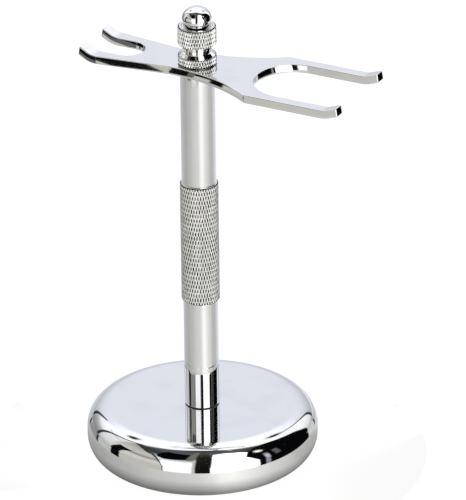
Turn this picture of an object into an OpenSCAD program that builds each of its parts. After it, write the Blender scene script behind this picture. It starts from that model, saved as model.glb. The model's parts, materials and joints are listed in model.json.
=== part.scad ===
// Razor and brush stand: weighted round base, three-piece column with a knurled grip,
// a forked holder plate that swivels on the column, and a knurled finial nut that clamps it.
// Origin: on the column axis, in the plane that the stand rests on. +Z is up and +X is the
// direction of the brush fork. Millimetres.

/* [Base] */
// Diameter of the base
base_d = 80; // [76:1:110]
// Height of the top face of the base above the surface it stands on
base_h = 19.9; // [18:0.1:24]
// Radius of the rounded rim, top and bottom
rim_r = 8.4; // [5:0.1:8.4]
// Diameter of the cast ballast disc inside the base
ballast_d = 62; // [40:1:62]
// How far the rubber pad stands proud of the base shell
pad_proud = 0.5; // [0.4:0.1:1.2]

/* [Column] */
// Diameter of the polished column
column_d = 12.1; // [11:0.1:16]
// Height of the column's lower section above the base
lower_len = 39.9; // [34:0.1:60]
// Length of the knurled grip
grip_len = 44.6; // [30:0.1:60]
// Diameter over the knurling of the grip and of the finial rings
knurl_d = 13.3; // [13:0.1:18]
// Height of the column's upper section, from the grip to the shoulder under the plate
upper_len = 41.2; // [34:0.1:60]
// Width of the 45 degree chamfer at each end of the grip
grip_chamfer = 0.5; // [0.3:0.1:0.9]

/* [Holder plate] */
// Thickness of the sheet
plate_t = 3; // [2:0.1:3.2]
// Half width of the plate at its waist
waist_half = 7.5; // [7:0.1:9]
// Distance from the axis to the end of the flat part of the brush fork
brush_reach = 55.4; // [52:0.1:60]
// Half width of the brush fork, outside
brush_half = 17.65; // [17:0.05:20]
// Radius of the round end of the brush opening
brush_r = 13.6; // [11:0.1:14]
// Distance from the axis to the centre of that round end
brush_x = 36.7; // [36:0.1:40]
// Distance from the axis to the end of the flat part of the razor fork
razor_reach = 33.6; // [32:0.1:38]
// Half width of the razor fork at its mouth, outside
razor_half = 10.8; // [10:0.1:12]
// Radius of the round end of the razor slot
razor_r = 6; // [4:0.1:6.5]
// Distance from the axis to the centre of that round end
razor_x = 26.8; // [24:0.1:28]
// Length of the bent-up tips, along the fork
tip_run = 6.2; // [5:0.1:8]
// Angle through which the brush fork's tips are bent up
brush_bend = 19; // [12:1:26]
// Angle through which the razor fork's tips are bent up
razor_bend = 29; // [12:1:30]
// Bend radius of the tips, on the upper face
tip_bend_r = 7; // [5:0.5:9]

/* [Finial nut] */
// Diameter of the neck between the two knurled rings
neck_d = 9.8; // [8:0.1:11]
// Height of the knurled side of the lower ring
ring_low_h = 2.8; // [2:0.1:5]
// Height of the knurled side of the upper ring
ring_up_h = 6.1; // [4:0.1:8]
// Diameter of the domed head
dome_d = 10.24; // [9.6:0.02:11]
// Height of the dome above its widest place
dome_rise = 4.15; // [3:0.05:5.1]

/* [Threads and fits] */
// Nominal diameter of the screw, the studs and their threads
thread_d = 6; // [5:0.5:6]
// Radial clearance of the parts that turn on each other
running_gap = 0.05; // [0.03:0.01:0.09]
// Diameter of the spigot on which the plate turns
spigot_d = 8; // [7.6:0.1:9]

/* [Hidden] */

fn_big = 160;
fn_small = 96;
eps = 0.01;

// Base, from the floor up
top_wall = 3;
pocket_gap = 0.2;
pad_t = 2;
ballast_top = base_h - top_wall;
bore_gap = 0.3;
screw_head_r = 5;
screw_head_h = 6;
washer_t = 1.6;
screw_head_z = pad_t + 0.6;
counterbore_r = 7.2;
counterbore_top = screw_head_z + screw_head_h + 2 * washer_t;
screw_shank = 30;
socket_af = 5;
socket_depth = 3;

// Column, from the base up
foot_t = 0.3;
column_z = base_h + foot_t;
grip_z = base_h + lower_len;
upper_z = grip_z + grip_len;
shoulder_z = upper_z + upper_len;
thread_r = thread_d / 2;
stud_half = 12;
stud_room = 1;
foot_recess_r = column_d / 2 - 0.6;

// Plate
plate_washer_t = 0.5;
plate_z = shoulder_z + plate_washer_t;
plate_top = plate_z + plate_t;
spigot_h = plate_washer_t + plate_t - 0.6;
spigot_r = spigot_d / 2;
tip_lean = 0.5;
waist_x = -7;
corner_x = 26.6;
// The flank is an arc that is level at the waist and reaches the brush fork's corner
flank_run = corner_x - waist_x;
flank_rise = brush_half - waist_half;
flank_r = (flank_run * flank_run + flank_rise * flank_rise) / (2 * flank_rise);
razor_prong = razor_half - razor_r;

// Finial, from the plate up
finial_gap = 0.3;
finial_z = plate_top + finial_gap;
washer_seat = 0.8;
finial_washer_r = 5;
finial_washer_hole_r = thread_r + 0.25;
ring_slope_w = (knurl_d - neck_d) / 2;
ring_low_slope_h = 1.2;
neck_h = 1.5;
ring_up_slope_h = 1.6;
neck_z = finial_z + ring_low_h + ring_low_slope_h;
ring_up_z = neck_z + neck_h + ring_up_slope_h;
ring_up_top = ring_up_z + ring_up_h + 0.4;
dome_seat_z = ring_up_top - 1.2;
dome_wide_z = ring_up_top + 2.5;
stud_reach = 8.3;
thread_room = 0.7;
dome_neck_r = 4.3;
dome_pin_r = 1.6;
dome_pin_h = 2.8;

// Ring of rectangular section
module ring(r_out, r_in, h) {
    difference() {
        cylinder(r = r_out, h = h, $fn = fn_small);
        translate([0, 0, -eps]) cylinder(r = r_in, h = h + 2 * eps, $fn = fn_small);
    }
}

// Headless stud with coned ends, centred on z = 0
module stud(length) {
    cone = 0.6;
    rotate_extrude($fn = fn_small)
        polygon([[0, -length / 2], [thread_r - cone, -length / 2],
            [thread_r, -length / 2 + cone], [thread_r, length / 2 - cone],
            [thread_r - cone, length / 2], [0, length / 2]]);
}

// Round bar with a chamfer at each end, standing on z = 0
module chamfered_bar(r, h, chamfer) {
    rotate_extrude($fn = fn_small)
        polygon([[0, 0], [r - chamfer, 0], [r, chamfer], [r, h - chamfer],
            [r - chamfer, h], [0, h]]);
}

// Threaded hole, going up from z = 0
module threaded_hole(depth) {
    translate([0, 0, -eps]) cylinder(r = thread_r, h = depth + eps, $fn = fn_small);
}

// Die-cast shell: fully rounded rim, flat top, pocket open downwards for the ballast
module base_shell() {
    pocket_r = ballast_d / 2 + pocket_gap;
    rim_x = base_d / 2 - rim_r;
    color("gainsboro")
    difference() {
        rotate_extrude($fn = fn_big) {
            translate([0, pad_proud]) square([rim_x, base_h - pad_proud]);
            translate([0, pad_proud + rim_r])
                square([base_d / 2, base_h - pad_proud - 2 * rim_r]);
            intersection() {
                union() {
                    translate([rim_x, base_h - rim_r]) circle(rim_r, $fn = fn_big);
                    translate([rim_x, pad_proud + rim_r]) circle(rim_r, $fn = fn_big);
                }
                translate([rim_x - eps, 0]) square([rim_r + 1, base_h]);
            }
        }
        translate([0, 0, -eps]) cylinder(r = pocket_r, h = ballast_top + eps, $fn = fn_big);
        cylinder(r = thread_r + bore_gap, h = base_h + 1, $fn = fn_small);
    }
}

// Cast-iron disc that fills the pocket, counterbored for the screw head and its washers
module base_ballast() {
    color("dimgray")
    difference() {
        translate([0, 0, pad_t]) cylinder(d = ballast_d, h = ballast_top - pad_t, $fn = fn_big);
        cylinder(r = thread_r + bore_gap, h = base_h, $fn = fn_small);
        cylinder(r = counterbore_r, h = counterbore_top, $fn = fn_small);
    }
}

// Rubber disc glued under the ballast; it covers the screw
module base_pad() {
    color("black") cylinder(r = ballast_d / 2 - 0.4, h = pad_t, $fn = fn_big);
}

// Socket head cap screw that pulls ballast, shell and column together
module base_screw() {
    shank_z = screw_head_z + screw_head_h;
    color("darkgray")
    difference() {
        union() {
            translate([0, 0, screw_head_z])
                cylinder(r = screw_head_r, h = screw_head_h, $fn = fn_small);
            translate([0, 0, shank_z - eps])
                cylinder(r = thread_r, h = screw_shank + eps, $fn = fn_small);
        }
        translate([0, 0, screw_head_z - eps])
            cylinder(d = socket_af / cos(30), h = socket_depth + eps, $fn = 6);
    }
}

// Split spring washer under the screw head
module spring_washer() {
    outer_r = 5.4;
    split_w = 0.8;
    color("silver")
    translate([0, 0, screw_head_z + screw_head_h])
    difference() {
        ring(outer_r, thread_r + 0.1, washer_t);
        translate([0, -split_w / 2, -eps]) cube([outer_r + 1, split_w, washer_t + 2 * eps]);
    }
}

// Flat washer against the ballast
module flat_washer() {
    color("silver")
    translate([0, 0, counterbore_top - washer_t]) ring(6, thread_r + 0.2, washer_t);
}

// Thin fibre washer between the column's foot and the base
module foot_washer() {
    color("black") translate([0, 0, base_h]) ring(foot_recess_r, thread_r + bore_gap, foot_t);
}

// Lower section of the column, tapped at both ends
module column_lower() {
    height = grip_z - column_z;
    color("gainsboro")
    translate([0, 0, column_z])
    difference() {
        chamfered_bar(column_d / 2, height, 0.2);
        threaded_hole(screw_head_z + screw_head_h + screw_shank - column_z + stud_room);
        translate([0, 0, height - stud_half - stud_room]) threaded_hole(height);
    }
}

module lower_stud() {
    color("darkgray") translate([0, 0, grip_z]) stud(2 * stud_half);
}

// Knurled barrel between the two polished sections, tapped at both ends
module grip_barrel() {
    color("silver")
    translate([0, 0, grip_z])
    difference() {
        chamfered_bar(knurl_d / 2, grip_len, grip_chamfer);
        threaded_hole(stud_half + stud_room);
        translate([0, 0, grip_len - stud_half - stud_room]) threaded_hole(grip_len);
    }
}

module upper_stud() {
    color("darkgray") translate([0, 0, upper_z]) stud(2 * stud_half);
}

// Upper section of the column; the spigot on top centres the plate
module column_upper() {
    color("gainsboro")
    translate([0, 0, upper_z])
    difference() {
        union() {
            chamfered_bar(column_d / 2, upper_len, 0.2);
            translate([0, 0, upper_len - eps])
                cylinder(r = spigot_r, h = spigot_h + eps, $fn = fn_small);
        }
        threaded_hole(stud_half + stud_room);
        translate([0, 0, upper_len - stud_half - stud_room])
            threaded_hole(stud_half + stud_room + spigot_h + 1);
    }
}

// Stud fixed in the top of the column, on which the finial nut runs
module top_stud() {
    bottom = shoulder_z - stud_half;
    top = plate_top + stud_reach;
    color("darkgray") translate([0, 0, (bottom + top) / 2]) stud(top - bottom);
}

// Fibre washer under the plate
module plate_washer() {
    color("black")
    translate([0, 0, shoulder_z]) ring(column_d / 2 - 0.3, spigot_r + 0.1, plate_washer_t);
}

// Point of the bent sheet at a distance r from the bend's centre, after the angle a
function bend_point(r, a) = [r * sin(a), tip_bend_r + plate_t - r * cos(a)];

// Point of the straight tip beyond the bend, where the face at distance r reaches x
function tip_point(r, bend, x) =
    let (start = bend_point(r, bend)) [x, start[1] + (x - start[0]) * tan(bend)];

// One bent-up fork tip, running to +X: a level stretch that overlaps the flat sheet, an arc,
// then a straight piece whose end is cut almost upright
module bent_tip(width, bend) {
    steps = 8;
    overlap = 1;
    outer_r = tip_bend_r + plate_t;
    upper = [for (i = [0 : steps]) bend_point(tip_bend_r, bend * i / steps)];
    lower = [for (i = [steps : -1 : 0]) bend_point(outer_r, bend * i / steps)];
    translate([0, width / 2, 0]) rotate([90, 0, 0])
    linear_extrude(height = width)
        polygon(concat([[-overlap, plate_t]], upper,
            [tip_point(tip_bend_r, bend, tip_run), tip_point(outer_r, bend, tip_run + tip_lean)],
            lower, [[-overlap, 0]]));
}

// Half outline of the flat sheet, from the mouth of the razor slot to the brush fork
module half_outline() {
    difference() {
        polygon([[-razor_reach, 0], [-razor_reach, razor_half], [waist_x, waist_half],
            [waist_x, brush_half], [brush_reach, brush_half], [brush_reach, 0]]);
        translate([waist_x, waist_half + flank_r]) circle(flank_r, $fn = fn_big);
    }
}

// Forked holder plate with a round hole for the spigot
module holder_plate() {
    brush_prong = brush_half - brush_r;
    color("gainsboro")
    translate([0, 0, plate_z]) {
        difference() {
            linear_extrude(height = plate_t)
            difference() {
                union() {
                    half_outline();
                    mirror([0, 1]) half_outline();
                }
                translate([brush_x, 0]) circle(brush_r, $fn = fn_big);
                translate([brush_x, -brush_r]) square([brush_reach, 2 * brush_r]);
                translate([-razor_x, 0]) circle(razor_r, $fn = fn_big);
                translate([-razor_x - razor_reach, -razor_r]) square([razor_reach, 2 * razor_r]);
            }
            translate([0, 0, -eps])
                cylinder(r = spigot_r + running_gap, h = plate_t + 2 * eps, $fn = fn_small);
        }
        for (side = [-1, 1]) {
            translate([brush_reach, side * (brush_r + brush_prong / 2), 0])
                bent_tip(brush_prong, brush_bend);
            translate([-razor_reach, side * (razor_r + razor_prong / 2), 0])
                mirror([1, 0, 0]) bent_tip(razor_prong, razor_bend);
        }
    }
}

// Nylon washer held captive in the underside of the finial; it bears on the plate
module finial_washer() {
    color("white")
    translate([0, 0, plate_top])
        ring(finial_washer_r, finial_washer_hole_r, finial_gap + washer_seat);
}

// Turned nut: two knurled rings, a plain neck between them and a recess for the dome
module finial_body() {
    knurl_r = knurl_d / 2;
    neck_r = neck_d / 2;
    ring_low_top = finial_z + ring_low_h;
    bore_top = plate_top + stud_reach + thread_room;
    recess_r = 5.35;
    lip = 0.4;
    color("silver")
    difference() {
        rotate_extrude($fn = fn_small)
            polygon([[0, finial_z], [knurl_r - 0.2, finial_z], [knurl_r, finial_z + 0.2],
                [knurl_r, ring_low_top], [neck_r, neck_z], [neck_r, neck_z + neck_h],
                [knurl_r, ring_up_z], [knurl_r, ring_up_top - lip],
                [knurl_r - lip, ring_up_top], [0, ring_up_top]]);
        translate([0, 0, finial_z - eps])
            cylinder(r = finial_washer_r + running_gap, h = washer_seat + eps, $fn = fn_small);
        translate([0, 0, finial_z])
            cylinder(r = thread_r + running_gap, h = bore_top - finial_z, $fn = fn_small);
        translate([0, 0, dome_seat_z]) cylinder(r = recess_r, h = 3, $fn = fn_small);
        translate([0, 0, dome_seat_z - dome_pin_h])
            cylinder(r = dome_pin_r, h = dome_pin_h + eps, $fn = fn_small);
    }
}

// Domed head, pressed into the recess of the finial by its pin
module finial_dome() {
    steps = 24;
    under = 1.6;
    crown = [for (i = [0 : steps])
        [dome_d / 2 * cos(90 * i / steps), dome_wide_z + dome_rise * sin(90 * i / steps)]];
    color("gainsboro")
    rotate_extrude($fn = fn_small)
        polygon(concat(
            [[0, dome_seat_z - dome_pin_h], [dome_pin_r, dome_seat_z - dome_pin_h],
                [dome_pin_r, dome_seat_z], [dome_neck_r, dome_seat_z],
                [dome_neck_r, dome_wide_z - under],
                [dome_d / 2 - 0.25, dome_wide_z - 0.75 * under]],
            crown));
}

base_shell();
base_ballast();
base_pad();
base_screw();
spring_washer();
flat_washer();
foot_washer();
column_lower();
lower_stud();
grip_barrel();
upper_stud();
column_upper();
top_stud();
plate_washer();
holder_plate();
finial_washer();
finial_body();
finial_dome();
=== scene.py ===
"""Looks of the razor stand: a mesh-built piece for each CAD node, with procedural materials,
in a small white studio whose cards are what the chrome reflects. Lengths are in metres."""

import json
import math

import bpy
import numpy as np
from mathutils import Matrix, Vector
from mathutils.geometry import tessellate_polygon


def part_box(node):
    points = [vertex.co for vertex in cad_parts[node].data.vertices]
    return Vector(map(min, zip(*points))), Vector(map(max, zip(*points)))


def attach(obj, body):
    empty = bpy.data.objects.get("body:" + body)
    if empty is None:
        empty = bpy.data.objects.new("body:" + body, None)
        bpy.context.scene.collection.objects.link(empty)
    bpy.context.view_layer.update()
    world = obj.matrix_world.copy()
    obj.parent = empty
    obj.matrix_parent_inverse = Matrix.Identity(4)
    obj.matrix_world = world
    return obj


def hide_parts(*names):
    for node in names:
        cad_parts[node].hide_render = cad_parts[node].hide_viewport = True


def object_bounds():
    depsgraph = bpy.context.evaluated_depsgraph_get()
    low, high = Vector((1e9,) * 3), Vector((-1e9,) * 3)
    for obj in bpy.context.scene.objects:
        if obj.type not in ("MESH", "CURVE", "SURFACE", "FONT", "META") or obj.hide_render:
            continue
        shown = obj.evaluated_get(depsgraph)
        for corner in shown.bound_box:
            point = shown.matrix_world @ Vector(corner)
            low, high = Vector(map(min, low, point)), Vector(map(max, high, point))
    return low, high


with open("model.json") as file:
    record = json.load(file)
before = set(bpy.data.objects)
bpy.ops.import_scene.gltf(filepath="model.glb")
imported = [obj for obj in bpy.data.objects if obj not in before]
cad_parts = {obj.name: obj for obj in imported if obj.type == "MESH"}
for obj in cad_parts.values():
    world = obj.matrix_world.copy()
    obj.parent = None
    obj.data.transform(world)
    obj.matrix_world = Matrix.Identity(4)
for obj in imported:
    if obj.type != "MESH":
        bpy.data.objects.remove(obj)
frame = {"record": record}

MM = 0.001
TURN = 2 * math.pi
NODE_BODY = {
    node: body
    for body, nodes in frame["record"]["behaviour"]["bodies"].items()
    for node in nodes
}


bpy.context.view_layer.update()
LOW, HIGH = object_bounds()
HEIGHT = HIGH.z - LOW.z


def reach(node):
    """Radius of a round CAD node that is centred on the column's axis."""
    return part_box(node)[1].y


def bottom(node):
    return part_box(node)[0].z


def top(node):
    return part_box(node)[1].z


# ---------------------------------------------------------------- mesh building


def linked(name, data):
    """A new object in the scene."""
    made = bpy.data.objects.new(name, data)
    bpy.context.scene.collection.objects.link(made)
    return made


class Surface:
    """Collects faces whose corners have their own normals, and turns them into one object."""

    def __init__(self):
        self.points = []
        self.index = {}
        self.faces = []
        self.normals = []
        self.cuts = {}

    def point(self, place):
        key = tuple(round(c * 1e8) for c in place)
        if key not in self.index:
            self.index[key] = len(self.points)
            self.points.append(tuple(place))
        return self.index[key]

    def cut(self, place, depth):
        """Marks how deep a point lies in the knurling: 0 for smooth parts, 1 for a crossing."""
        self.cuts[self.point(place)] = depth

    def face(self, places, normals=None):
        ids = [self.point(p) for p in places]
        kept = [k for k in range(len(ids)) if ids[k] != ids[k - 1]]
        if len(kept) < 3:
            return
        if normals is None:
            a, b, c = (Vector(places[k]) for k in (kept[0], kept[1], kept[2]))
            flat = (b - a).cross(c - a)
            if flat.length == 0:
                return
            normals = [flat.normalized()] * len(places)
        self.faces.append([ids[k] for k in kept])
        self.normals.extend(tuple(normals[k]) for k in kept)

    def build(self, name, material):
        mesh = bpy.data.meshes.new(name)
        mesh.from_pydata(self.points, [], self.faces)
        mesh.shade_smooth()
        mesh.normals_split_custom_set(self.normals)
        mesh.materials.append(material)
        if self.cuts:
            depths = mesh.attributes.new("cut", "FLOAT", "POINT")
            for k, depth in self.cuts.items():
                depths.data[k].value = depth
        return linked(name, mesh)


def rounded(points, steps=8):
    """Stretches of (x, y, nx, ny) round a counter-clockwise outline of (x, y, fillet radius)."""
    ends = []
    stretches = []
    count = len(points)
    for k in range(count):
        here = Vector(points[k][:2])
        come = (here - Vector(points[k - 1][:2])).normalized()
        go = (Vector(points[(k + 1) % count][:2]) - here).normalized()
        turn = math.atan2(come.x * go.y - come.y * go.x, come.dot(go))
        fillet = points[k][2]
        cut = fillet * math.tan(abs(turn) / 2)
        first = here - come * cut
        normal = Vector((come.y, -come.x))
        centre = first - normal * math.copysign(fillet, turn)
        arc = []
        for i in range(steps + 1):
            spun = normal.copy()
            spun.rotate(Matrix.Rotation(turn * i / steps, 2))
            place = centre + spun * math.copysign(fillet, turn)
            arc.append((place.x, place.y, spun.x, spun.y))
        ends.append(arc)
    for k in range(count):
        if points[k][2] > 0:
            stretches.append(ends[k])
        a = ends[k][-1]
        b = ends[(k + 1) % count][0]
        stretches.append([a, (b[0], b[1], a[2], a[3])])
    return stretches


def lathe(surface, stretches, segments=160, start=0.0, sweep=TURN):
    """Turns stretches of (radius, z, normal radius, normal z) round the column's axis."""
    angles = [start + sweep * i / segments for i in range(segments + 1)]
    turns = [(math.cos(a), math.sin(a)) for a in angles]
    for stretch in stretches:
        for p, q in zip(stretch, stretch[1:]):
            for (c0, s0), (c1, s1) in zip(turns, turns[1:]):
                ring = [(p, c0, s0), (p, c1, s1), (q, c1, s1), (q, c0, s0)]
                surface.face(
                    [(e[0] * c, e[0] * s, e[1]) for e, c, s in ring],
                    [(e[2] * c, e[2] * s, e[3]) for e, c, s in ring],
                )


def turned(points, segments=160, steps=8):
    """Closed turned solid whose half outline is given counter-clockwise as (radius, z, fillet)."""
    surface = Surface()
    lathe(surface, rounded(points, steps), segments)
    return surface


def washer(node, hole, fillet=0.1 * MM):
    """Flat ring that fills a CAD node's box, with softened edges."""
    r, z0, z1 = reach(node), bottom(node), top(node)
    return turned([(hole, z0, fillet), (r, z0, fillet), (r, z1, fillet), (hole, z1, fillet)], 96, 4)


def thread(surface, z0, z1, radius, pitch=1 * MM, segments=32):
    """Screw thread round the axis, with coned ends, closed at both ends."""
    depth = 0.61 * pitch
    lead = 0.6 * MM
    rows = max(2, round((z1 - z0) / pitch * 6))
    grid = []
    for j in range(rows + 1):
        z = z0 + (z1 - z0) * j / rows
        from_end = min(z - z0, z1 - z)
        limit = radius - max(0, lead - from_end)
        row = []
        for i in range(segments):
            phase = (z / pitch - i / segments) % 1
            groove = min(1, max(0, abs(2 * phase - 1) * 1.25 - 0.125))
            r = min(limit, radius - depth * groove)
            a = TURN * i / segments
            row.append((r * math.cos(a), r * math.sin(a), z))
        grid.append(row)
    for low_row, high_row in zip(grid, grid[1:]):
        for i in range(segments):
            k = (i + 1) % segments
            surface.face([low_row[i], low_row[k], high_row[k], high_row[i]])
    for row, z, order in ((grid[0], z0, -1), (grid[-1], z1, 1)):
        for i in range(segments):
            pair = [row[i], row[(i + 1) % segments]][::order]
            surface.face([pair[0], pair[1], (0, 0, z)])


# Teeth round the knurling, depths of its grooves, rows, and a tooth's flat as a share of the tooth
KNURL_TEETH = 43
GRIP_DEPTH, RING_DEPTH = 0.14 * MM, 0.3 * MM
GRIP_ROWS, LOW_RING_ROWS, HIGH_RING_ROWS = 26, 2, 4
KNURL_FLAT = 0.36
# How worn the sides of the teeth are, from 0 for polished to 1 for as rough, and as dark with
# painted shade, as a groove crossing
GRIP_WORN, RING_WORN = 0.4, 0.2


def knurl(surface, z0, z1, radius, rows, depth, worn, land0, land1):
    """Diamond knurling from z0 to z1. It runs out to the circles land0 and land1, each given as
    (radius, z). The groove crossings are marked 1 in "cut", where the knurled chrome paints
    shade, and the sides of the teeth worn."""
    root = radius - depth
    step = TURN / KNURL_TEETH
    half = (z1 - z0) / rows

    def groove(i, j):
        a = (i + 0.5 * (j % 2)) * step
        return Vector((root * math.cos(a), root * math.sin(a), z0 + j * half))

    def crest(i, j, side, rise):
        """Corner of the small flat on top of the tooth in row j, right of groove crossing i."""
        a = (i + 0.5 + 0.5 * (j % 2) + side * 0.5 * KNURL_FLAT) * step
        z = z0 + (j + rise * KNURL_FLAT) * half
        return Vector((radius * math.cos(a), radius * math.sin(a), z))

    def slope(a, b, flat_b, flat_a):
        """One side of a tooth, from the groove between crossings a and b up to the small flat."""
        halfway = a.lerp(b, 0.5)
        surface.face([a, halfway, flat_a])
        surface.face([halfway, flat_b, flat_a])
        surface.face([halfway, b, flat_b])
        # Groove crossings get 1 in "cut": the knurled chrome paints dark shade there
        for place in (a, b):
            surface.cut(place, 1)
        for place in (halfway, flat_a, flat_b):
            surface.cut(place, worn)

    for j in range(rows + 1):
        for i in range(KNURL_TEETH):
            left, right = groove(i, j), groove(i + 1, j)
            flat_left, flat_right = crest(i, j, -1, 0), crest(i, j, 1, 0)
            middle = i + j % 2
            flat = [flat_left]
            if j > 0:
                low, flat_low = groove(middle, j - 1), crest(i, j, 0, -1)
                slope(low, right, flat_right, flat_low)
                slope(left, low, flat_low, flat_left)
                flat.append(flat_low)
            else:
                surface.face([land_point(land0, left), land_point(land0, right), right, left])
            flat.append(flat_right)
            if j < rows:
                high, flat_high = groove(middle, j + 1), crest(i, j, 0, 1)
                slope(right, high, flat_high, flat_right)
                slope(high, left, flat_left, flat_high)
                flat.append(flat_high)
            else:
                surface.face([left, right, land_point(land1, right), land_point(land1, left)])
            surface.face(flat)
            if j in (0, rows):
                end = [left, right, flat_right, flat_left]
                surface.face(end if j == 0 else end[::-1])


def land_point(land, place):
    """The point of the circle (radius, z) that lies beside a place on the knurling."""
    out = Vector((place.x, place.y, 0)).normalized() * land[0]
    return Vector((out.x, out.y, land[1]))


# ---------------------------------------------------------------- materials


class Nodes:
    """A material's node tree, with short calls for what the materials here share."""

    def __init__(self, name):
        self.material = bpy.data.materials.new(name)
        self.material.use_nodes = True
        self.tree = self.material.node_tree
        self.shader = self.tree.nodes["Principled BSDF"]
        self.place = self.tree.nodes.new("ShaderNodeTexCoord").outputs["Object"]

    def set(self, **values):
        for key, value in values.items():
            self.shader.inputs[key.replace("_", " ")].default_value = value

    def link(self, source, target):
        self.tree.links.new(source, target)

    def roughness(self, source):
        self.link(source, self.shader.inputs["Roughness"])

    def relief(self, source):
        self.link(source, self.shader.inputs["Normal"])

    def stretched(self, x, y, z):
        mapping = self.tree.nodes.new("ShaderNodeMapping")
        mapping.inputs["Scale"].default_value = (x, y, z)
        self.link(self.place, mapping.inputs["Vector"])
        return mapping.outputs["Vector"]

    def noise(self, scale, detail=3.0, roughness=0.5, vector=None):
        node = self.tree.nodes.new("ShaderNodeTexNoise")
        node.inputs["Scale"].default_value = scale
        node.inputs["Detail"].default_value = detail
        node.inputs["Roughness"].default_value = roughness
        self.link(vector or self.place, node.inputs["Vector"])
        return node.outputs["Fac"]

    def cells(self, scale):
        node = self.tree.nodes.new("ShaderNodeTexVoronoi")
        node.inputs["Scale"].default_value = scale
        self.link(self.place, node.inputs["Vector"])
        return node.outputs["Distance"]

    def between(self, source, low, high, start=0.3, end=0.7):
        """Maps source from start..end to low..high."""
        node = self.tree.nodes.new("ShaderNodeMapRange")
        node.inputs["From Min"].default_value = start
        node.inputs["From Max"].default_value = end
        node.inputs["To Min"].default_value = low
        node.inputs["To Max"].default_value = high
        self.link(source, node.inputs["Value"])
        return node.outputs["Result"]

    def math(self, operation, a, b):
        node = self.tree.nodes.new("ShaderNodeMath")
        node.operation = operation
        self.link(a, node.inputs[0])
        self.link(b, node.inputs[1])
        return node.outputs["Value"]

    def attribute(self, name):
        node = self.tree.nodes.new("ShaderNodeAttribute")
        node.attribute_name = name
        return node.outputs["Fac"]

    def colour(self, source, first, second, start=0.3, end=0.7):
        """Base colour that runs from first to second as source goes from start to end."""
        ramp = self.tree.nodes.new("ShaderNodeValToRGB")
        for element, position, shade in zip(ramp.color_ramp.elements, (start, end), (first, second)):
            element.position = position
            element.color = (*shade, 1)
        self.link(source, ramp.inputs["Fac"])
        self.link(ramp.outputs["Color"], self.shader.inputs["Base Color"])

    def bump(self, source, height, under=None):
        node = self.tree.nodes.new("ShaderNodeBump")
        node.inputs["Distance"].default_value = height
        self.link(source, node.inputs["Height"])
        if under is not None:
            self.link(under, node.inputs["Normal"])
        return node.outputs["Normal"]


CHROME = (0.70, 0.705, 0.715)
CHROME_SMUDGED = (0.66, 0.665, 0.67)
CHROME_ON_TEETH = (0.76, 0.76, 0.755)
# Painted shade for the dark groove crossings of the knurling
GROOVE_PAINTED_SHADE = (0.02, 0.02, 0.019)


def chrome(name, smooth=0.02, worn=0.07, ripple=1.5e-6):
    """Bright chrome plate: long polishing ripples, faint smudges and hairline scratches."""
    n = Nodes(name)
    n.set(Metallic=1.0)
    smudge = n.noise(70, 4, 0.6)
    n.colour(smudge, CHROME_SMUDGED, CHROME, 0.28, 0.5)
    hairline = n.noise(1, 5, 0.7, n.stretched(900, 900, 35))
    smudge_rough = n.between(smudge, worn, smooth, 0.3, 0.62)
    hairline_rough = n.between(hairline, 0, 0.16, 0.7, 0.8)
    n.roughness(n.math("MAXIMUM", smudge_rough, hairline_rough))
    waves = n.bump(n.noise(160, 1), ripple)
    n.relief(n.bump(hairline, ripple * 0.15, waves))
    return n.material


def knurled_chrome(name):
    """Chrome on cut teeth: bright crests, and painted shade where the grooves cross."""
    n = Nodes(name)
    n.set(Metallic=1.0)
    cut = n.attribute("cut")
    # Painted shade: dark where the grooves cross, spread a little at random
    groove_shade = n.math("ADD", cut, n.between(n.noise(420, 5, 0.65), -0.1, 0.1))
    n.colour(groove_shade, CHROME_ON_TEETH, GROOVE_PAINTED_SHADE, 0.5, 0.66)
    n.roughness(n.between(cut, 0.03, 0.55, 0, GRIP_WORN))
    n.relief(n.bump(n.noise(5200, 3), 6e-6))
    return n.material


def zinc_steel(name):
    """Bright zinc on fastener steel: fine crystals and turning marks."""
    n = Nodes(name)
    n.set(Metallic=1.0)
    n.colour(n.noise(320, 5, 0.6), (0.42, 0.43, 0.45), (0.60, 0.61, 0.62))
    n.roughness(n.between(n.cells(2600), 0.22, 0.42, 0, 0.6))
    marks = n.noise(1, 3, 0.6, n.stretched(60, 60, 5200))
    n.relief(n.bump(marks, 8e-6))
    return n.material


def cast_iron(name):
    """Sand-cast iron: dark grey skin with grains and a few rusty specks."""
    n = Nodes(name)
    n.set(Metallic=0.85)
    n.colour(n.noise(260, 6, 0.7), (0.10, 0.075, 0.06), (0.21, 0.21, 0.22), 0.36, 0.5)
    n.roughness(n.between(n.noise(900, 4), 0.5, 0.8))
    n.relief(n.bump(n.noise(1300, 6, 0.7), 0.12 * MM))
    return n.material


def rubber(name):
    """Black non-slip rubber with a fine moulded grain and grey dust."""
    n = Nodes(name)
    n.set(Specular_IOR_Level=0.35)
    n.colour(n.noise(150, 6, 0.7), (0.018, 0.018, 0.019), (0.06, 0.058, 0.055), 0.45, 0.75)
    n.roughness(n.between(n.noise(1500, 3), 0.62, 0.85))
    n.relief(n.bump(n.cells(2100), 0.05 * MM))
    return n.material


def fibre(name):
    """Dark vulcanised fibre: short flecks and a dull pressed skin."""
    n = Nodes(name)
    fleck = n.noise(1, 4, 0.7, n.stretched(2400, 700, 2400))
    n.colour(fleck, (0.035, 0.026, 0.02), (0.10, 0.075, 0.055))
    n.roughness(n.between(fleck, 0.55, 0.75))
    n.relief(n.bump(fleck, 0.02 * MM))
    return n.material


def nylon(name):
    """Natural nylon: milky, slightly translucent, with faint flow marks."""
    n = Nodes(name)
    n.set(Subsurface_Weight=0.25, Subsurface_Scale=1 * MM)
    n.colour(n.noise(240, 3), (0.74, 0.73, 0.68), (0.86, 0.86, 0.82))
    n.roughness(n.between(n.noise(1100, 3), 0.32, 0.5))
    n.relief(n.bump(n.noise(700, 2), 0.01 * MM))
    return n.material


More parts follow.
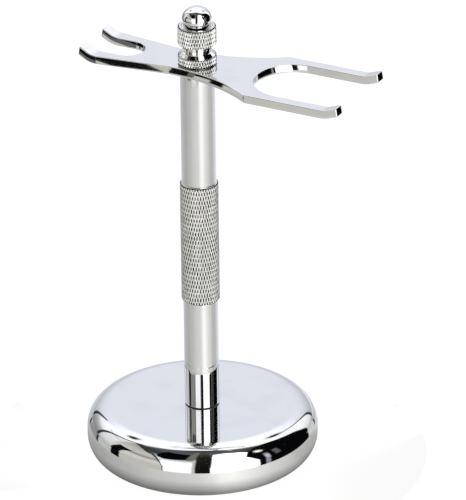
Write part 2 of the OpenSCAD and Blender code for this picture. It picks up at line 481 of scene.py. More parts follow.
FINISH = {
    "chrome": chrome("chrome"),
    "plate_chrome": chrome("plate_chrome", 0.025, 0.08, 2.0e-6),
    "knurled_chrome": knurled_chrome("knurled_chrome"),
    "steel": zinc_steel("zinc_steel"),
    "cast_iron": cast_iron("cast_iron"),
    "rubber": rubber("rubber"),
    "fibre": fibre("fibre"),
    "nylon": nylon("nylon"),
}
SLOT_OF = {part["node"]: part["material_slot"] for part in frame["record"]["subparts"]}


def put(node, surface):
    """Makes the piece that stands for a CAD node, with the node's body, slot and finish."""
    slot = SLOT_OF[node]
    piece = surface.build(node + "_piece", FINISH[slot])
    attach(piece, NODE_BODY[node])
    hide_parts(node)
    return piece


# ---------------------------------------------------------------- base

# Radii of the threads, of the base's clearance holes, of the plate's spigot and of the base's rim
THREAD_R = 3.0 * MM
BORE_R = THREAD_R + 0.3 * MM
SPIGOT_R = 4.0 * MM
RIM_R = 8.4 * MM


def base_shell():
    """Shell with a fully rounded rim; its pocket, open below, holds the ballast."""
    r, z0, z1 = reach("base_shell"), bottom("base_shell"), top("base_shell")
    pocket = reach("base_ballast") + 0.2 * MM
    roof = top("base_ballast")
    lip = 0.15 * MM
    outline = [
        (BORE_R, roof, 0), (pocket, roof, 0), (pocket, z0, lip), (r, z0, RIM_R),
        (r, z1, RIM_R), (BORE_R, z1, lip),
    ]
    return turned(outline, 360, 40)


def base_ballast():
    """Heavy disc with a pocket for the screw's head and its washers."""
    r, z0, z1 = reach("base_ballast"), bottom("base_ballast"), top("base_ballast")
    bore, seat = reach("flat_washer") + 1.2 * MM, top("flat_washer")
    edge = 1.0 * MM
    outline = [
        (bore, z0, 0.3 * MM), (r, z0, edge), (r, z1, edge), (BORE_R, z1, 0.2 * MM),
        (BORE_R, seat, 0.2 * MM), (bore, seat, 0),
    ]
    return turned(outline, 120, 6)


def base_pad():
    """Rubber disc whose underside has three moulded grooves."""
    r, z0, z1 = reach("base_pad"), bottom("base_pad"), top("base_pad")
    groove_w, groove_h = 0.9 * MM, 0.35 * MM
    soft = 0.12 * MM
    outline = [(0, z0, 0)]
    for share in (0.3, 0.55, 0.8):
        inner = share * r
        outer = inner + groove_w
        outline += [
            (inner, z0, soft), (inner, z0 + groove_h, soft),
            (outer, z0 + groove_h, soft), (outer, z0, soft),
        ]
    outline += [(r, z0, 0.4 * MM), (r, z1, 0.2 * MM), (0, z1, 0)]
    return turned(outline, 120, 4)


def base_screw():
    """Socket head cap screw, head down, with a hexagonal socket."""
    head_r, z0, z2 = reach("base_screw"), bottom("base_screw"), top("base_screw")
    z1 = bottom("spring_washer")
    socket_half, socket_depth = 2.5 * MM, 3 * MM
    chamfer = 0.4 * MM
    sides = 96
    surface = Surface()

    def ring(z, radius=None):
        places = []
        for i in range(sides):
            a = TURN * i / sides
            off = (a + TURN / 12) % (TURN / 6) - TURN / 12
            r = radius if radius is not None else socket_half / math.cos(off)
            places.append((r * math.cos(a), r * math.sin(a), z))
        return places

    rings = [
        ring(z0 + socket_depth, 0), ring(z0 + socket_depth), ring(z0), ring(z0, head_r - chamfer),
        ring(z0 + chamfer, head_r), ring(z1, head_r), ring(z1, THREAD_R - 0.6 * MM),
    ]
    for low_ring, high_ring in zip(rings, rings[1:]):
        for i in range(sides):
            k = (i + 1) % sides
            surface.face([low_ring[i], low_ring[k], high_ring[k], high_ring[i]])
    thread(surface, z1, z2, THREAD_R)
    return surface


def spring_washer():
    """Split ring: its gap faces +X."""
    r, z0, z1 = reach("spring_washer"), bottom("spring_washer"), top("spring_washer")
    hole, edge, gap = THREAD_R + 0.1 * MM, 0.12 * MM, 0.8 * MM
    outline = [(hole, z0, edge), (r, z0, edge), (r, z1, edge), (hole, z1, edge)]
    start = gap / 2 / r
    surface = Surface()
    stretches = rounded(outline, 4)
    lathe(surface, stretches, 92, start, TURN - 2 * start)
    for angle, order in ((start, 1), (TURN - start, -1)):
        face = [
            (e[0] * math.cos(angle), e[0] * math.sin(angle), e[1])
            for stretch in stretches
            for e in stretch[:-1]
        ]
        surface.face(face[::order])
    return surface


# ---------------------------------------------------------------- column

COLUMN_SIDES = 240


def column_side(node, z1):
    """The polished side of a column section, from its foot up to z1, with softened edges."""
    r, edge = reach(node), 0.18 * MM
    return [(r, bottom(node), edge), (r, z1, edge)]


def hole_below(z0, roof):
    """Outline of a threaded hole that runs up from z0, from its middle to its mouth."""
    return [(0, roof, 0), (THREAD_R, roof, 0), (THREAD_R, z0, 0)]


def hole_above(z1, floor):
    """Outline of a threaded hole that runs down from z1, from its mouth to its middle."""
    return [(THREAD_R, z1, 0), (THREAD_R, floor, 0), (0, floor, 0)]


def column_lower():
    """Lower section, tapped for the base's screw and for the grip's stud."""
    node = "column_lower"
    z1 = top(node)
    outline = hole_below(bottom(node), top("base_screw") + MM)
    outline += column_side(node, z1)
    outline += hole_above(z1, bottom("lower_stud") - MM)
    return turned(outline, COLUMN_SIDES)


def column_upper():
    """Upper section; the spigot on its shoulder centres the plate."""
    node = "column_upper"
    shoulder, z1 = bottom("plate_washer"), top(node)
    outline = hole_below(bottom(node), top("upper_stud") + MM)
    outline += column_side(node, shoulder)
    outline += [(SPIGOT_R, shoulder, 0.1 * MM), (SPIGOT_R, z1, 0.2 * MM)]
    outline += hole_above(z1, bottom("top_stud") - MM)
    return turned(outline, COLUMN_SIDES)


def grip_barrel():
    """Knurled barrel with a chamfer at each end, tapped at both ends."""
    r, z0, z1 = reach("grip_barrel"), bottom("grip_barrel"), top("grip_barrel")
    chamfer = 0.5 * MM
    end_r = r - chamfer - 0.05 * MM
    surface = Surface()
    lands = (end_r, z0), (end_r, z1)
    knurl(surface, z0 + chamfer, z1 - chamfer, r, GRIP_ROWS, GRIP_DEPTH, GRIP_WORN, *lands)
    low_roof, high_floor = top("lower_stud") + MM, bottom("upper_stud") - MM
    for z, deep in ((z0, low_roof), (z1, high_floor)):
        up = deep > z
        ring = [(0, deep), (THREAD_R, deep), (THREAD_R, z), (end_r, z)]
        normals = [(0, -1), (-1, 0), (0, -1)] if up else [(0, 1), (-1, 0), (0, 1)]
        stretches = []
        for a, b, n in zip(ring, ring[1:], normals):
            pair = [(*a, *n), (*b, *n)]
            stretches.append(pair if up else pair[::-1])
        lathe(surface, stretches, KNURL_TEETH)
    return surface


def stud(node):
    """Threaded stud that fills a CAD node's box."""
    surface = Surface()
    thread(surface, bottom(node), top(node), THREAD_R)
    return surface


# ---------------------------------------------------------------- holder plate

PLATE_LOW, PLATE_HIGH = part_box("holder_plate")
PLATE_Z, PLATE_T = PLATE_LOW.z, 3.0 * MM
SPIGOT_HOLE = SPIGOT_R + 0.05 * MM
# Outline: the narrow waist, the corner where the brush fork begins, and the forks' half widths
WAIST_X, WAIST_HALF = -7.0 * MM, 7.5 * MM
CORNER_X = 26.6 * MM
BRUSH_HALF, RAZOR_HALF = PLATE_HIGH.y, 10.8 * MM
# Round ends of the two openings: radius and centre
BRUSH_R, BRUSH_X = 13.6 * MM, 36.7 * MM
RAZOR_R, RAZOR_X = 6.0 * MM, -26.8 * MM
# Bent tips: length along X, how much further their underside reaches, bend radius and angles
TIP_RUN, TIP_LEAN = 6.2 * MM, 0.5 * MM
BEND_R, BEND_STEPS = 7.0 * MM, 10
BRUSH_BEND, RAZOR_BEND = math.radians(19), math.radians(29)
BRUSH_FLAT = PLATE_HIGH.x - TIP_RUN - TIP_LEAN
RAZOR_FLAT = PLATE_LOW.x + TIP_RUN + TIP_LEAN
# Edge of the sheet: its rounding, and the lean of its face at the top and at the foot
EDGE_R = 0.3 * MM
EDGE_LEAN_TOP, EDGE_LEAN_LOW = math.radians(6), math.radians(-2)
# Lengths under which two places are the same
SAME_PLACE, TINY = 1e-7, 1e-8


def bend_length(bend):
    """Length of the bent stretch and of the straight stretch beyond it, in the flat blank."""
    middle = BEND_R + PLATE_T / 2
    return bend * middle, (TIP_RUN - BEND_R * math.sin(bend)) / math.cos(bend)


def bent(place):
    """Where a point of the flat blank goes when the fork's tips are bent up."""
    x, y, z = place
    if x > BRUSH_FLAT:
        beyond, bend, sign, start = x - BRUSH_FLAT, BRUSH_BEND, 1, BRUSH_FLAT
    elif x < RAZOR_FLAT:
        beyond, bend, sign, start = RAZOR_FLAT - x, RAZOR_BEND, -1, RAZOR_FLAT
    else:
        return Vector(place)
    curved, straight = bend_length(bend)
    depth = PLATE_Z + PLATE_T - z
    r = BEND_R + depth
    a = bend * min(1, beyond / curved)
    end_x = TIP_RUN + TIP_LEAN * depth / PLATE_T
    full = (end_x - r * math.sin(bend)) / math.cos(bend)
    along = full * max(0, beyond - curved) / straight
    out = r * math.sin(a) + along * math.cos(bend)
    up = BEND_R + PLATE_T - r * math.cos(a) + along * math.sin(bend)
    return Vector((start + sign * out, y, PLATE_Z + up))


def bent_normal(place, normal):
    """The normal of the blank's surface after bending."""
    nudge = 1e-6
    place = Vector(place)
    columns = []
    for axis in range(3):
        step = Vector((0, 0, 0))
        step[axis] = nudge
        columns.append((bent(place + step) - bent(place - step)) / (2 * nudge))
    jacobian = Matrix(columns).transposed()
    return (jacobian.inverted().transposed() @ Vector(normal)).normalized()


def plate_outline():
    """The flat blank's outline, counter-clockwise, as one list of (x, y, nx, ny)."""
    tip, corner = 0.45 * MM, 0.6 * MM
    brush_end = BRUSH_FLAT + sum(bend_length(BRUSH_BEND))
    razor_end = RAZOR_FLAT - sum(bend_length(RAZOR_BEND))
    run, rise = CORNER_X - WAIST_X, BRUSH_HALF - WAIST_HALF
    flank_r = (run * run + rise * rise) / (2 * rise)
    flank_turn = math.asin(run / flank_r)
    flank_knee = WAIST_X + flank_r * math.tan(flank_turn / 2)
    flank_fillet = 0.985 * flank_r  # a little short of the full arc, so that it fits its stretch
    half = [
        (BRUSH_X - BRUSH_R, BRUSH_R, BRUSH_R), (brush_end, BRUSH_R, tip),
        (brush_end, BRUSH_HALF, tip), (CORNER_X, BRUSH_HALF, corner),
        (flank_knee, WAIST_HALF, flank_fillet), (WAIST_X, WAIST_HALF, corner),
        (RAZOR_FLAT, RAZOR_HALF, 2 * corner), (razor_end, RAZOR_HALF, tip),
        (razor_end, RAZOR_R, tip), (RAZOR_X + RAZOR_R, RAZOR_R, RAZOR_R),
    ]
    other = [(x, -y, fillet) for x, y, fillet in reversed(half)]
    samples = []
    for stretch in rounded(half + other, 24):
        for sample in stretch:
            if not samples or math.dist(sample[:2], samples[-1][:2]) > SAME_PLACE:
                samples.append(sample)
    if math.dist(samples[0][:2], samples[-1][:2]) < SAME_PLACE:
        samples.pop()
    return samples


def bend_stations():
    """The places along X where the blank is cut across so that its tips can bend."""
    brush = bend_length(BRUSH_BEND)[0]
    razor = bend_length(RAZOR_BEND)[0]
    shares = [k / BEND_STEPS for k in range(BEND_STEPS + 1)]
    return [RAZOR_FLAT - razor * s for s in reversed(shares)], [BRUSH_FLAT + brush * s for s in shares]


def with_stations(samples, stations):
    """Adds a sample wherever a straight stretch crosses a station."""
    filled = []
    for k, a in enumerate(samples):
        b = samples[(k + 1) % len(samples)]
        filled.append(a)
        low, high = sorted((a[0], b[0]))
        inside = [s for s in stations if low + TINY < s < high - TINY]
        for s in sorted(inside, reverse=a[0] > b[0]):
            share = (s - a[0]) / (b[0] - a[0])
            filled.append(tuple(p + (q - p) * share for p, q in zip(a, b)))
    return filled


def edge_profile():
    """(inset, z, tilt of the normal) down the sheet's edge: rounded, leaning a little, rounded."""
    steps = 5
    profile = []
    for k in range(steps + 1):
        tilt = math.pi / 2 + (EDGE_LEAN_TOP - math.pi / 2) * k / steps
        z = PLATE_T - EDGE_R + EDGE_R * math.sin(tilt)
        profile.append((EDGE_R * (1 - math.cos(tilt)), z, tilt))
    for k in range(steps + 1):
        tilt = EDGE_LEAN_LOW - (math.pi / 2 + EDGE_LEAN_LOW) * k / steps
        profile.append((EDGE_R * (1 - math.cos(tilt)), EDGE_R + EDGE_R * math.sin(tilt), tilt))
    return profile


def holder_plate():
    """Forked sheet with softened edges: built flat, then its tips are bent up."""
    surface = Surface()
    razor_stations, brush_stations = bend_stations()
    outline = with_stations(plate_outline(), razor_stations + brush_stations)
    hole_steps = 96
    hole = []
    for k in range(hole_steps):
        a = -TURN * k / hole_steps
        c, s = math.cos(a), math.sin(a)
        hole.append((SPIGOT_HOLE * c, SPIGOT_HOLE * s, -c, -s))

    def add(places, normals):
        surface.face([bent(p) for p in places], [bent_normal(p, n) for p, n in zip(places, normals)])

    profile = edge_profile()
    for loop in (outline, hole):
        for k, a in enumerate(loop):
            b = loop[(k + 1) % len(loop)]
            for upper, lower in zip(profile, profile[1:]):
                ring = [(a, lower), (b, lower), (b, upper), (a, upper)]
                places = [
                    (s[0] - s[2] * inset, s[1] - s[3] * inset, PLATE_Z + z)
                    for s, (inset, z, tilt) in ring
                ]
                normals = [
                    (s[2] * math.cos(tilt), s[3] * math.cos(tilt), math.sin(tilt))
                    for s, (inset, z, tilt) in ring
                ]
                add(places, normals)

    def level(sample, z):
        return Vector((sample[0] - sample[2] * EDGE_R, sample[1] - sample[3] * EDGE_R, z))

    cuts = [-1, *razor_stations, *brush_stations, 1]
    for z, up in ((PLATE_Z, -1), (PLATE_Z + PLATE_T, 1)):
        for low, high in zip(cuts, cuts[1:]):
            inside = [s for s in outline if low - TINY <= s[0] <= high + TINY]
            flat_part = low == RAZOR_FLAT
            prongs = [[s for s in inside if s[1] * side > 0] for side in (-1, 1)]
            groups = [inside] if flat_part else prongs
            for group in groups:
                loops = [[level(s, z) for s in group]]
                if flat_part:
                    loops.append([level(s, z) for s in hole])
                every = [p for loop in loops for p in loop]
                for triangle in tessellate_polygon(loops):
                    places = [every[k] for k in triangle]
                    turn = (places[1] - places[0]).cross(places[2] - places[0]).z
                    if turn * up < 0:
                        places.reverse()
                    add(places, [(0, 0, up)] * 3)
    return surface


# ---------------------------------------------------------------- finial

DOME_PIN_R = 1.6 * MM


def finial_body():
    """Nut with two knurled rings, a waisted neck, a thread below and a recess above."""
    r, z0, z1 = reach("finial_body"), bottom("finial_body"), top("finial_body")
    root = r - RING_DEPTH
    soft, lip, cove = 0.12 * MM, 0.4 * MM, 0.2 * MM
    neck_r, cone_r = 4.9 * MM, 5.25 * MM
    ring_low_top, neck_z, neck_top, ring_up_z = (z0 + h * MM for h in (2.8, 4.0, 5.5, 7.1))
    recess_r, seat = 5.35 * MM, z1 - 1.2 * MM
    pin_r, pin_z = DOME_PIN_R, bottom("finial_dome")
    washer_r, washer_top = reach("finial_washer") + 0.05 * MM, top("finial_washer")
    bore_r, bore_top = THREAD_R + 0.05 * MM, pin_z - 0.9 * MM
    foot = (root - 0.15 * MM, z0)
    shoulder_low = (root - soft, ring_low_top + soft)
    shoulder_high = (root - soft, ring_up_z - soft)
    rim = (root - lip, z1)
    surface = Surface()
    knurl(surface, z0 + 0.2 * MM, ring_low_top, r, LOW_RING_ROWS, RING_DEPTH, RING_WORN,
          foot, shoulder_low)
    knurl(surface, ring_up_z, z1 - lip, r, HIGH_RING_ROWS, RING_DEPTH, RING_WORN,
          shoulder_high, rim)
    waist = [
        shoulder_low, (cone_r, neck_z), (neck_r, neck_z + cove),
        (neck_r, neck_top - cove), (cone_r, neck_top), shoulder_high,
    ]
    crown = [
        rim, (recess_r + soft, z1), (recess_r, z1 - soft), (recess_r, seat),
        (pin_r, seat), (pin_r, pin_z), (0, pin_z),
    ]
    under = [
        (0, bore_top), (bore_r, bore_top), (bore_r, washer_top), (washer_r, washer_top),
        (washer_r, z0 + soft), (washer_r + soft, z0), foot,
    ]
    for path in (waist, crown, under):
        stretches = []
        for a, b in zip(path, path[1:]):
            run = Vector((b[0] - a[0], b[1] - a[1])).normalized()
            stretches.append([(*a, run.y, -run.x), (*b, run.y, -run.x)])
        lathe(surface, stretches, KNURL_TEETH * 3)
    return surface


def finial_dome():
    """Egg-shaped head on a short neck, with its pin."""
    r, z0, z1 = reach("finial_dome"), bottom("finial_dome"), top("finial_dome")
    wide_z = z1 - 4.15 * MM
    pin_r, neck_r = DOME_PIN_R, 4.3 * MM
    seat = z0 + 2.8 * MM
    neck_top = wide_z - 1.6 * MM
    steps = 40
    crown = []
    for k in range(steps + 1):
        a = TURN / 4 * k / steps
        normal = Vector((math.cos(a) / r, math.sin(a) / (z1 - wide_z))).normalized()
        crown.append((r * math.cos(a), wide_z + (z1 - wide_z) * math.sin(a), normal.x, normal.y))
    below = [
        (0, z0, 0), (pin_r, z0, 0.2 * MM), (pin_r, seat, 0), (neck_r, seat, 0),
        (neck_r, neck_top, 0.3 * MM), (r - 0.2 * MM, wide_z - 1.1 * MM, 0.5 * MM), (r, wide_z, 0),
    ]
    stretches = rounded(below + [(0, wide_z, 0)], 10)
    surface = Surface()
    lathe(surface, stretches[:-2], 160)
    lathe(surface, [crown], 160)
    return surface


put("base_shell", base_shell())
put("base_ballast", base_ballast())
put("base_pad", base_pad())
put("base_screw", base_screw())
put("spring_washer", spring_washer())
put("flat_washer", washer("flat_washer", THREAD_R + 0.2 * MM))
put("foot_washer", washer("foot_washer", BORE_R, 0.04 * MM))
put("column_lower", column_lower())
put("lower_stud", stud("lower_stud"))
put("grip_barrel", grip_barrel())
put("upper_stud", stud("upper_stud"))
put("column_upper", column_upper())
put("top_stud", stud("top_stud"))
put("plate_washer", washer("plate_washer", 4.1 * MM, 0.05 * MM))
put("holder_plate", holder_plate())
put("finial_washer", washer("finial_washer", THREAD_R + 0.25 * MM))
put("finial_body", finial_body())
put("finial_dome", finial_dome())

# ---------------------------------------------------------------- studio

# The camera's place and lens
VIEW_AZIMUTH = math.radians(27.46)
VIEW_ELEVATION = math.radians(25.4)
VIEW_DISTANCE = 3.0
VIEW_ROLL = math.radians(0.74)
LENS_MM = 627.5
AIM_UP = 0.4598 * HEIGHT
AIM_ASIDE = 0.0668 * HEIGHT

# The dome: the size at which it is painted, its centre, how many times further away it is set,
# the point near the rim that sees it, and the elevation of its foot's colours
TENT_R = 0.29
TENT_CENTRE_Z = 0.015
TENT_SPREAD = 5.5
RIM_EYE_R, RIM_EYE_Z = 0.035, 0.018
FOOT_EL = 4


def radiance(tone):
    """Light that chrome shows as this 0 to 255 screen tone."""
    share = np.asarray(tone, float) / 255
    return np.where(share <= 0.04045, share / 12.92, ((share + 0.055) / 1.055) ** 2.4) / CHROME[0]


def graded(values, stops):
    """Reads the curve through (place, value) stops at every one of the values."""
    return np.interp(values, [stop[0] for stop in stops], [stop[1] for stop in stops])


def tinted(tone, tint=(1, 1, 1)):
    """Linear colours from an array of tones and one tint."""
    return radiance(tone)[..., None] * np.asarray(tint, float)


def soft_step(inside, width):
    """0 outside an edge and 1 inside it, with a ramp of this width in degrees."""
    return np.clip(inside / width + 0.5, 0, 1)


class Tent:
    """A paper dome round the object, painted in tones by direction: azimuth from the camera,
    positive to the right, and elevation, both in degrees."""

    def __init__(self):
        self.columns, rows = 721, 191
        self.az, self.el = np.meshgrid(np.linspace(-180, 180, self.columns), np.linspace(-3, 90, rows))
        self.shade = np.zeros((*self.az.shape, 3))

    def paint(self, az0, az1, el0, el1, light, soft=1.2):
        """A patch between azimuths az0 and az1 and elevations el0 and el1. Each bound is a
        number or an array; light is a linear colour or an array of them."""
        mask = soft_step(self.az - az0, soft) * soft_step(az1 - self.az, soft)
        mask = mask * soft_step(self.el - el0, soft) * soft_step(el1 - self.el, soft)
        self.shade += (np.asarray(light, float) - self.shade) * mask[..., None]

    def spot(self, az, el, wide, high, light):
        """An oval with soft edges."""
        away = np.hypot((self.az - az) / wide, (self.el - el) / high)
        mask = np.clip(1.6 - 1.2 * away, 0, 1)
        self.shade += (np.asarray(light, float) - self.shade) * mask[..., None]

    def by_el(self, *stops):
        """Value at each elevation from (elevation, value) stops."""
        return graded(self.el, stops)

    def by_az(self, *stops):
        """Value at each azimuth from (azimuth, value) stops."""
        return graded(self.az, stops)

    def foot(self):
        """Azimuths and, at each, the three colour bands of the wall just above the floor."""
        row = np.abs(self.el[:, 0] - FOOT_EL).argmin()
        return self.az[row], self.shade[row].T


COOL = (0.985, 1.0, 1.09)
DIM_COOL = (0.95, 1.02, 1.06)
WARM = (1.02, 1.0, 0.9)
FLOOR_WARM = (1.005, 1.0, 0.962)
WHITE_PAPER = (1.45, 1.45, 1.45)
SOFTBOX = (2.4, 2.38, 2.33)
BLACK_FELT = (0.003, 0.003, 0.004)
BLACK_POST = (0.004, 0.004, 0.005)


def paint_back(t):
    """White paper behind and above, a little darker towards the sides of the back."""
    tone = t.by_el((-3, 188), (10, 202), (22, 219), (33, 226), (41, 252), (90, 254))
    from_middle = np.clip(178 - np.abs(t.az), 0, 40)
    tone = tone - from_middle * np.clip(1 - t.el / 30, 0, 1) * 0.55
    t.shade = tinted(tone, COOL)
    t.paint(-180, 180, 43, 90, WHITE_PAPER, 6)


def paint_ceiling(t):
    """Dark ceiling over the front half."""
    tone = t.by_el((40, 55), (55, 58), (62, 85), (72, 84), (82, 60), (90, 50))
    left = t.by_el((40, -104), (62, -96), (72, -88), (84, -84))
    right = t.by_el((40, 96), (60, 88), (80, 70))
    t.paint(left, right, 40, 91, tinted(tone, DIM_COOL), 14)


def paint_left(t):
    """Grey panel with a dark edge, and a light panel with a slanted top and a dark seam."""
    grey = tinted(t.by_el((-3, 132), (6, 142), (14, 172), (22, 235), (30, 252)))
    t.paint(-140, -120, -9, 45, grey)
    t.paint(-144.5, -141, -9, 31, tinted(t.by_el((-3, 25), (30, 90))))
    t.spot(-130, 50.5, 10, 3.5, radiance((20, 22, 26)))
    light = tinted(t.by_el((-3, 150), (4, 186), (12, 212), (30, 228), (44, 215)))
    light_top = t.by_az((-117, 38), (-106, 46), (-98, 51), (-84, 52))
    t.paint(-117, -84, -9, light_top, light)
    seam = t.by_el((0, -119), (30, -116.5), (40, -111.5), (48, -105), (56, -97))
    t.paint(seam - 2, seam + 2, -9, 56, radiance((45, 45, 43)), 1.5)


def paint_front_left(t):
    """Black felt above a white card, then the beige card with its arch, band and black post."""
    felt_foot = t.by_az((-55, 42), (-48, 37), (-40, 33), (-18, 38.5))
    t.paint(-59 + (62 - t.el) * 0.3, -17.5, felt_foot, 63, BLACK_FELT, 1.5)
    card = t.by_el((-3, 238), (3, 254), (12, 285), (24, 285), (30, 226), (36, 178))
    t.paint(-44, -9, -9, t.by_az((-44, 33), (-26, 35.5), (-18, 38.5)), tinted(card))
    arch = t.by_az((-92, 52), (-76, 48), (-66, 43.5), (-57, 41), (-50, 34), (-45, 27), (-40, 15), (-36, -2))
    beige = t.by_el((-3, 150), (3, 185), (12, 206), (24, 200), (38, 184), (50, 150))
    t.paint(-98, -36, -9, arch, tinted(beige, WARM))
    t.paint(-76, -41, 19, 27, radiance((152, 149, 143)), 4)
    post = t.by_el((0, -90), (10, -89), (18, -86.5), (26, -85))
    t.paint(post - 5.5, post + t.by_el((0, 5.5), (16, 7), (23, 11)), -9, 26, BLACK_POST)
    t.paint(-100, -34, arch - 2.2, arch + 2.2, radiance((50, 47, 38)), 1.5)
    t.paint(-25.5, -23.5, -9, 2, radiance((100, 100, 104)), 1.5)
    t.paint(-18, -8, 36, 76, radiance((112, 112, 104)), 2.5)
    t.paint(-10.5, -7.5, -9, 40, radiance((190, 190, 188)), 1.5)


def paint_gap(t):
    """The dark gap that the camera looks through."""
    tone = t.by_el((0, 18), (50, 30), (70, 70), (90, 50))
    t.paint(-7.5, t.by_el((0, 6), (50, 10), (90, 12)), -9, 91, tinted(tone, WARM), 1.5)


def paint_right(t):
    """Softbox, black panel with a small lamp and two streaks, and a light panel."""
    softbox_edge = t.by_el((0, 54), (10, 52), (18, 49), (26, 46.5), (32, 44), (40, 48), (48, 55), (60, 50))
    panel_edge = t.by_el((0, 120), (8, 120.5), (18, 116), (30, 112.5), (40, 106), (50, 98), (60, 84))
    t.paint(softbox_edge, panel_edge, -9, t.by_az((60, 50), (75, 56), (95, 54)), BLACK_FELT, 2.5)
    gap_edge = t.by_el((0, 6.5), (50, 11), (64, 16))
    t.paint(gap_edge, softbox_edge, -9, t.by_az((10, 62), (35, 64), (56, 54)), SOFTBOX, 1.5)
    t.spot(63, 40.5, 4.5, 5, radiance((254, 252, 240)))
    t.paint(60, 65, -3, 27, tinted(t.by_el((0, 110), (8, 170), (18, 190), (27, 80)), COOL), 1.5)
    t.paint(71, 77, 8, 27, radiance((90, 88, 90)), 2)
    light = t.by_el((-3, 150), (3, 196), (10, 230), (24, 250), (40, 250))
    t.paint(panel_edge, 137, -9, 46, tinted(light), 1.5)
    bow = t.by_el((0, 137), (18, 137), (30, 134), (40, 129), (47, 124))
    t.paint(bow, bow + 3, -9, 47, radiance((30, 30, 36)), 1.5)
    t.spot(127, 50, 8, 4.5, radiance((14, 15, 18)))


def paint_seams(t):
    """Seams of the white back, running up to the ceiling."""
    seam = t.by_el((38, 179), (60, 175), (72, 171), (84, 158))
    for sign in (-1, 1):
        centre = sign * seam
        t.paint(centre - 1.2, centre + 1.2, 44, 84, radiance((30, 30, 32)), 1)


def paint_tent(t):
    for paint in (
        paint_back, paint_ceiling, paint_left, paint_front_left, paint_gap, paint_right, paint_seams,
    ):
        paint(t)


def around(az, r, z):
    """Places at azimuths from the camera (radians), with radii and heights."""
    turned_az = az + VIEW_AZIMUTH
    x, y = r * np.sin(turned_az), -r * np.cos(turned_az)
    return np.stack(np.broadcast_arrays(x, y, z), -1)


def glowing(name):
    """Paper that gives the light painted on its corners, and lights nothing by itself."""
    material = bpy.data.materials.new(name)
    material.use_nodes = True
    tree = material.node_tree
    tree.nodes.remove(tree.nodes["Principled BSDF"])
    emission = tree.nodes.new("ShaderNodeEmission")
    emission.inputs["Strength"].default_value = 1.0
    attribute = tree.nodes.new("ShaderNodeAttribute")
    attribute.attribute_name = "paint"
    tree.links.new(attribute.outputs["Color"], emission.inputs["Color"])
    tree.links.new(emission.outputs["Emission"], tree.nodes["Material Output"].inputs["Surface"])
    material.cycles.emission_sampling = "NONE"
    return material


def painted(name, points, shade, columns):
    """A glowing sheet from a grid of points, each with its own linear colour."""
    rows = len(points) // columns
    faces = []
    for j in range(rows - 1):
        for i in range(columns - 1):
            a = j * columns + i
            faces.append((a, a + 1, a + columns + 1, a + columns))
    mesh = bpy.data.meshes.new(name)
    mesh.from_pydata(points.tolist(), [], faces)
    paint = mesh.color_attributes.new("paint", "FLOAT_COLOR", "POINT")
    colours = np.concatenate([shade.reshape(-1, 3), np.ones((len(points), 1))], 1)
    paint.data.foreach_set("color", colours.astype(np.float32).ravel())
    mesh.materials.append(glowing(name + "_paper"))
    made = linked(name, mesh)
    made.visible_camera = False
    return made


def build_tent(t):
    """The dome, pushed outward along the rays from the base's rim so that it seems far away."""
    az, el = np.radians(t.az), np.radians(t.el)
    near = around(az, TENT_R * np.cos(el), TENT_CENTRE_Z + TENT_R * np.sin(el))
    eye = around(az / 2, RIM_EYE_R, RIM_EYE_Z)
    points = (eye + (near - eye) * TENT_SPREAD).reshape(-1, 3)
    return painted("tent", points, t.shade, t.columns)


def floor_paper():
    """Pale matt paper with a share of its own light."""
    n = Nodes("floor_paper")
    n.set(Roughness=0.32, Specular_IOR_Level=0, Emission_Strength=0.95, Emission_Color=(1, 1, 1, 1))
    n.colour(n.noise(18, 4), (0.138, 0.138, 0.138), (0.14, 0.14, 0.14))
    return n.material


# Painted light and shade of the floor by azimuth, and by radius the share of it that
# a painted shadow leaves near the base
FLOOR_PAINTED_LIGHT_TONE = (
    (-180, 212), (-143, 186), (-92, 168), (-44, 190), (-37, 198), (-3, 212), (5, 228), (12, 247),
    (20, 252), (30, 242), (44, 222), (66, 202), (74, 186), (102, 178), (113, 198), (150, 222),
    (180, 212),
)
FLOOR_SHARE_UNDER_PAINTED_SHADOW = (
    (0, 0.3), (0.037, 0.55), (0.039, 0.66), (0.042, 0.76), (0.046, 0.85), (0.052, 0.93),
    (0.060, 0.98), (0.080, 1),
)
FLOOR_HALF, FLOOR_DROP = 6.0, 0.05 * MM
FLOOR_REACH, FLOOR_END, FLOOR_FADE = 2.2, 0.325, 0.01


def seen_floor():
    """The floor that only the camera sees."""
    near, far, z = -FLOOR_HALF, FLOOR_HALF, -FLOOR_DROP
    mesh = bpy.data.meshes.new("floor")
    mesh.from_pydata([(near, near, z), (far, near, z), (far, far, z), (near, far, z)], [], [(0, 1, 2, 3)])
    mesh.materials.append(floor_paper())
    floor = linked("floor", mesh)
    floor.visible_glossy = False
    floor.visible_diffuse = False
    floor.visible_shadow = False
    return floor


def reflected_floor(tent_foot):
    """The floor that the chrome reflects, with painted light and shade by azimuth and a painted
    shadow round the base; past FLOOR_END it takes the colours of the dome's foot.
    """
    radii = np.concatenate([[0], np.geomspace(0.03, FLOOR_REACH, 160)])
    az = np.linspace(-180, 180, 361)
    az_grid, r_grid = np.meshgrid(az, radii)
    # Painted light and shade by azimuth, darkened near the base by a painted shadow
    tone = graded(az_grid, FLOOR_PAINTED_LIGHT_TONE) * graded(r_grid, FLOOR_SHARE_UNDER_PAINTED_SHADOW)
    lavender = np.clip(np.abs(az_grid) / 40 - 2.6, 0, 1)[..., None]
    tint = np.asarray(FLOOR_WARM) + (np.asarray(COOL) - np.asarray(FLOOR_WARM)) * lavender
    shade = radiance(tone)[..., None] * tint
    foot = np.stack([np.interp(az, tent_foot[0], band) for band in tent_foot[1]], -1)
    wall = np.clip((r_grid - FLOOR_END) / FLOOR_FADE, 0, 1)[..., None]
    shade += (foot - shade) * wall
    points = around(np.radians(az_grid), r_grid, -2 * FLOOR_DROP).reshape(-1, 3)
    return painted("floor_in_reflections", points, shade, len(az))


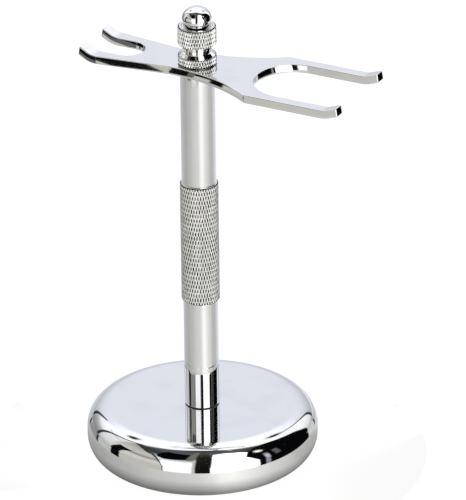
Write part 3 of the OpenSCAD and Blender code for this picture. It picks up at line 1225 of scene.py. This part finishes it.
def build_floor(tent_foot):
    """A floor for the camera, and just under it the one that the chrome reflects."""
    return seen_floor(), reflected_floor(tent_foot)


BASE_R = reach("base_shell")
# The low cone: its inner radius, its height there and its slope, and how far the rim's view of
# the cards is turned from the column's
SKIRT_IN, SKIRT_H, SKIRT_SLOPE = 0.0475, 0.0148, 0.487
RIM_PARALLAX = math.radians(6.9)


def build_skirt(tent_foot):
    """The cards' feet: a cone round the base that only its rim sees, edge-on from the column.
    Each azimuth is set where the ray that the rim reflects that way crosses the cone."""
    az = np.radians(tent_foot[0])
    ray = az + RIM_PARALLAX * np.sin(az / 2)
    facing = np.arctan2(np.sin(ray), np.cos(ray) + math.cos(VIEW_ELEVATION))
    out = BASE_R * np.cos(ray - facing)
    rows = []
    for r, z in ((SKIRT_IN, SKIRT_H), (SKIRT_IN + SKIRT_H / SKIRT_SLOPE, 0)):
        run = np.sqrt(out ** 2 + r ** 2 - BASE_R ** 2) - out
        rows.append(around(facing, BASE_R, z) + around(ray, run, 0))
    points = np.concatenate(rows)
    shade = np.concatenate([tent_foot[1].T] * 2)
    return painted("skirt", points, shade, len(az))


FLAG_SLOPE, FLAG_OUT = 0.8, 0.165
# Name, first and last azimuth, inner radius and light of each flag
FLAGS = (
    ("razor_flag", -53.5, -44.6, 0.1255, 0.006),
    ("waist_flag", -65.5, -55.6, 0.1255, 0.006),
    ("prong_flag", -69.5, -65.5, 0.1255, 0.16),
    ("flank_flag", -120, -69.5, 0.139, 0.006),
)


def build_flags():
    """Dark strips in front on the left, edge-on to the base: only the plate's edge sees them."""
    flags = []
    for name, az0, az1, low_r, light in FLAGS:
        az = np.radians(np.linspace(az0, az1, 30))
        rows = [around(az, r, RIM_EYE_Z + FLAG_SLOPE * (r - RIM_EYE_R)) for r in (low_r, FLAG_OUT)]
        points = np.concatenate(rows)
        flags.append(painted(name, points, np.full((len(points), 3), light), len(az)))
    return flags


def build_camera():
    """A long lens, level but for a slight roll, aimed a little above the stand's middle."""
    back = Vector((
        math.sin(VIEW_AZIMUTH) * math.cos(VIEW_ELEVATION),
        -math.cos(VIEW_AZIMUTH) * math.cos(VIEW_ELEVATION),
        math.sin(VIEW_ELEVATION),
    ))
    right = Vector((math.cos(VIEW_AZIMUTH), math.sin(VIEW_AZIMUTH), 0))
    aim = right * AIM_ASIDE + Vector((0, 0, AIM_UP))
    data = bpy.data.cameras.new("camera")
    data.lens = LENS_MM
    data.sensor_width = 36
    data.clip_start, data.clip_end = 0.1, 20
    camera = linked("camera", data)
    camera.rotation_mode = "QUATERNION"
    camera.location = aim + back * VIEW_DISTANCE
    roll = Matrix.Rotation(-VIEW_ROLL, 3, "Z").to_quaternion()
    camera.rotation_quaternion = (-back).to_track_quat("-Z", "Y") @ roll
    bpy.context.scene.camera = camera


def build_world():
    """Plain white light from everywhere, for what the dome doesn't cover."""
    world = bpy.data.worlds.new("studio")
    world.use_nodes = True
    background = world.node_tree.nodes["Background"]
    background.inputs["Color"].default_value = (1, 1, 1, 1)
    background.inputs["Strength"].default_value = 1.05
    bpy.context.scene.world = world
    bpy.context.scene.view_settings.view_transform = "Standard"


tent_paint = Tent()
paint_tent(tent_paint)
build_tent(tent_paint)
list(build_floor(tent_paint.foot()))
build_skirt(tent_paint.foot())
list(build_flags())
build_camera()
build_world()
